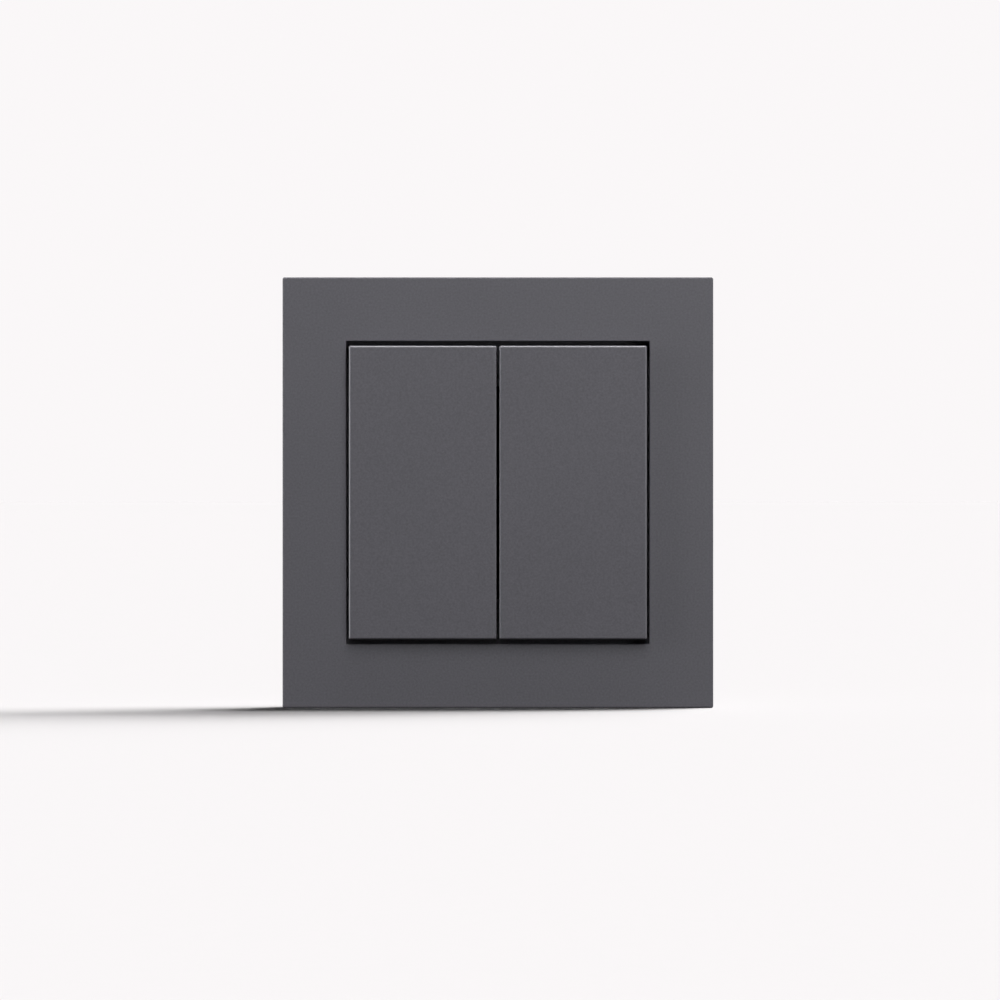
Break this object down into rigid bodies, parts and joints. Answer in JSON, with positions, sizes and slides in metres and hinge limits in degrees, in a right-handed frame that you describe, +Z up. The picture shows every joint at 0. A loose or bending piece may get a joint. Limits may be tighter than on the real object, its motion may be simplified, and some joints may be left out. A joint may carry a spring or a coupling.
{
  "type": "rocker wall switch",
  "caption": "Flush rocker wall switch: square cover frame around side-by-side centre-rest rockers, with a steel support ring, spreading claws and a push-in terminal housing behind.",
  "frame": {"origin": "centre of the wall plane, midway between the two wall box screws", "axes": "+Y into the wall (the rockers face -Y), +Z up, +X to the right seen from the front"},
  "size_m": [0.0808, 0.0415, 0.0808],
  "materials": {
    "anthracite_frame": "matt, fine grained",
    "anthracite_rocker": "matt, fine grained",
    "toggle_plastic": "smooth moulded",
    "housing_plastic": "smooth moulded",
    "cover_plastic": "smooth moulded",
    "lever_plastic": "smooth moulded",
    "zinc_plated_steel": "zinc plated",
    "plated_screw_steel": "plated",
    "spring_steel": "bright",
    "brass": "plain",
    "spring_bronze": "plain",
    "contact_silver": "plain"
  },
  "bodies": {
    "insert": {"cover_frame": "anthracite_frame", "frame_clips": "spring_steel", "support_ring": "zinc_plated_steel", "left_return_springs": "spring_steel", "right_return_springs": "spring_steel", "housing_cover": "cover_plastic", "housing_base": "housing_plastic", "rear_cover": "housing_plastic", "housing_screws": "plated_screw_steel", "common_busbar": "brass", "fixed_contacts": "brass", "fixed_rivets": "contact_silver", "left_contact_leaves": "spring_bronze", "right_contact_leaves": "spring_bronze", "left_moving_rivets": "contact_silver", "right_moving_rivets": "contact_silver", "clamp_spring_lt": "spring_steel", "clamp_spring_lb": "spring_steel", "clamp_spring_mt": "spring_steel", "clamp_spring_mb": "spring_steel", "clamp_spring_rt": "spring_steel", "clamp_spring_rb": "spring_steel"},
    "left_rocker_body": {"left_rocker": "anthracite_rocker", "left_toggle": "toggle_plastic"},
    "right_rocker_body": {"right_rocker": "anthracite_rocker", "right_toggle": "toggle_plastic"},
    "release_lever_lt_body": {"release_lever_lt": "lever_plastic"},
    "release_lever_lb_body": {"release_lever_lb": "lever_plastic"},
    "release_lever_mt_body": {"release_lever_mt": "lever_plastic"},
    "release_lever_mb_body": {"release_lever_mb": "lever_plastic"},
    "release_lever_rt_body": {"release_lever_rt": "lever_plastic"},
    "release_lever_rb_body": {"release_lever_rb": "lever_plastic"},
    "left_claw_screw_body": {"left_claw_screw": "plated_screw_steel"},
    "left_claw_nut_body": {"left_claw_nut": "zinc_plated_steel"},
    "left_claw_body": {"left_claw": "zinc_plated_steel"},
    "right_claw_screw_body": {"right_claw_screw": "plated_screw_steel"},
    "right_claw_nut_body": {"right_claw_nut": "zinc_plated_steel"},
    "right_claw_body": {"right_claw": "zinc_plated_steel"}
  },
  "joints": [
    {"name": "left_rocker_tilt", "type": "hinge", "parent": "insert", "child": "left_rocker_body", "pos_m": [-0.0104, -0.006, 0], "axis": [1, 0, 0], "range_deg": [-3.5, 3.5], "stiffness_Nm_per_rad": 0.5, "deforming": ["left_return_springs", "left_contact_leaves", "left_moving_rivets"]},
    {"name": "right_rocker_tilt", "type": "hinge", "parent": "insert", "child": "right_rocker_body", "pos_m": [0.0104, -0.006, 0], "axis": [1, 0, 0], "range_deg": [-3.5, 3.5], "stiffness_Nm_per_rad": 0.5, "deforming": ["right_return_springs", "right_contact_leaves", "right_moving_rivets"]},
    {"name": "release_lt", "type": "slide", "parent": "insert", "child": "release_lever_lt_body", "axis": [0, -1, 0], "range_m": [0, 0.0015], "stiffness_N_per_m": 400, "deforming": ["clamp_spring_lt"]},
    {"name": "release_lb", "type": "slide", "parent": "insert", "child": "release_lever_lb_body", "axis": [0, -1, 0], "range_m": [0, 0.0015], "stiffness_N_per_m": 400, "deforming": ["clamp_spring_lb"]},
    {"name": "release_mt", "type": "slide", "parent": "insert", "child": "release_lever_mt_body", "axis": [0, -1, 0], "range_m": [0, 0.0015], "stiffness_N_per_m": 400, "deforming": ["clamp_spring_mt"]},
    {"name": "release_mb", "type": "slide", "parent": "insert", "child": "release_lever_mb_body", "axis": [0, -1, 0], "range_m": [0, 0.0015], "stiffness_N_per_m": 400, "deforming": ["clamp_spring_mb"]},
    {"name": "release_rt", "type": "slide", "parent": "insert", "child": "release_lever_rt_body", "axis": [0, -1, 0], "range_m": [0, 0.0015], "stiffness_N_per_m": 400, "deforming": ["clamp_spring_rt"]},
    {"name": "release_rb", "type": "slide", "parent": "insert", "child": "release_lever_rb_body", "axis": [0, -1, 0], "range_m": [0, 0.0015], "stiffness_N_per_m": 400, "deforming": ["clamp_spring_rb"]},
    {"name": "left_claw_nut_slide", "type": "slide", "parent": "insert", "child": "left_claw_nut_body", "axis": [0, -1, 0], "range_m": [0, 0.004]},
    {"name": "left_claw_screw_turn", "type": "hinge", "parent": "insert", "child": "left_claw_screw_body", "pos_m": [-0.0246, 0, -0.0052], "axis": [0, 1, 0], "range_deg": [0, 2900]},
    {"name": "left_claw_spread", "type": "slide", "parent": "insert", "child": "left_claw_body", "axis": [-0.5, -0.866, 0], "range_m": [0, 0.0047]},
    {"name": "right_claw_nut_slide", "type": "slide", "parent": "insert", "child": "right_claw_nut_body", "axis": [0, -1, 0], "range_m": [0, 0.004]},
    {"name": "right_claw_screw_turn", "type": "hinge", "parent": "insert", "child": "right_claw_screw_body", "pos_m": [0.0246, 0, 0.0052], "axis": [0, 1, 0], "range_deg": [0, 2900]},
    {"name": "right_claw_spread", "type": "slide", "parent": "insert", "child": "right_claw_body", "axis": [0.5, -0.866, 0], "range_m": [0, 0.0047]}
  ],
  "couplings": [
    {"joint": "left_claw_screw_turn", "follows": "left_claw_nut_slide", "rad_per_m": 12566},
    {"joint": "left_claw_spread", "follows": "left_claw_nut_slide", "ratio": 1.1547},
    {"joint": "right_claw_screw_turn", "follows": "right_claw_nut_slide", "rad_per_m": 12566},
    {"joint": "right_claw_spread", "follows": "right_claw_nut_slide", "ratio": 1.1547}
  ]
}
